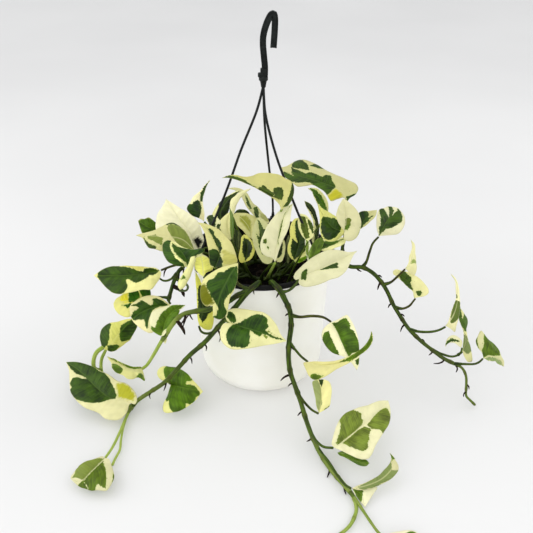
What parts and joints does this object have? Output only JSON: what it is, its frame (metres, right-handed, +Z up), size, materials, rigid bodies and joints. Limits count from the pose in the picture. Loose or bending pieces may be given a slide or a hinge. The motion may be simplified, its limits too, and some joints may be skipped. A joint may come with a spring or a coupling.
{
  "type": "potted pothos plant",
  "caption": "Variegated pothos with cream and green heart-shaped leaves and trailing stems, in a black nursery pot with a wire-arm hanger and hook, set in a plain white cover pot.",
  "frame": {"origin": "centre of the cover pot's flat base, on the surface it stands on", "axes": "+Z up along the pot's axis, -Y to the front where the long stems trail, +X to the right seen from the front"},
  "size_m": [0.5108, 0.3993, 0.4322],
  "materials": {
    "pot_white": "matte warm white",
    "pot_black": "matte moulded",
    "hanger_black": "satin moulded",
    "soil": "loose peat and bark potting mix",
    "stem": "smooth satin green, brown at the nodes",
    "stem_young": "smooth satin green",
    "leaf_cream": "glossy waxy leaf, cream with green patches",
    "leaf_green": "glossy waxy leaf, green",
    "leaf_yellow": "waxy leaf, yellow green",
    "leaf_olive": "waxy leaf underside, olive cream"
  },
  "bodies": {
    "root": {"cover_pot": "pot_white", "nursery_pot": "pot_black", "soil": "soil", "hanger": "hanger_black", "stems_left": "stem", "stems_right": "stem", "crown_stems": "stem_young", "leaf_left_01": "leaf_cream", "leaf_left_02": "leaf_cream", "leaf_left_03": "leaf_cream", "leaf_left_04": "leaf_cream", "leaf_left_05": "leaf_cream", "leaf_left_06": "leaf_cream", "leaf_left_07": "leaf_cream", "leaf_left_08": "leaf_cream", "leaf_left_09": "leaf_cream", "leaf_crown_01": "leaf_cream", "leaf_crown_02": "leaf_green", "leaf_crown_03": "leaf_cream", "leaf_crown_04": "leaf_cream", "leaf_crown_05": "leaf_cream", "leaf_crown_06": "leaf_yellow", "leaf_crown_07": "leaf_cream", "leaf_crown_08": "leaf_cream", "leaf_crown_09": "leaf_cream", "leaf_crown_10": "leaf_cream", "leaf_crown_11": "leaf_cream", "leaf_crown_12": "leaf_cream", "leaf_crown_13": "leaf_cream", "leaf_crown_14": "leaf_cream", "leaf_crown_15": "leaf_cream", "leaf_crown_16": "leaf_yellow", "leaf_crown_17": "leaf_olive", "leaf_crown_18": "leaf_cream", "leaf_crown_19": "leaf_cream", "leaf_crown_20": "leaf_yellow", "leaf_crown_21": "leaf_cream", "leaf_crown_22": "leaf_yellow", "leaf_crown_23": "leaf_cream", "leaf_crown_24": "leaf_cream", "leaf_crown_25": "leaf_cream", "leaf_crown_26": "leaf_cream", "leaf_right_01": "leaf_cream", "leaf_right_02": "leaf_cream", "leaf_front_01": "leaf_cream", "leaf_front_02": "leaf_cream", "leaf_front_03": "leaf_yellow", "leaf_right_03": "leaf_cream", "leaf_right_04": "leaf_cream", "leaf_right_05": "leaf_cream", "leaf_right_06": "leaf_cream", "leaf_right_07": "leaf_cream", "leaf_right_08": "leaf_cream", "leaf_right_09": "leaf_cream", "leaf_right_10": "leaf_cream", "leaf_right_11": "leaf_cream", "leaf_right_12": "leaf_cream", "leaf_right_13": "leaf_cream", "leaf_right_14": "leaf_cream"}
  },
  "joints": []
}
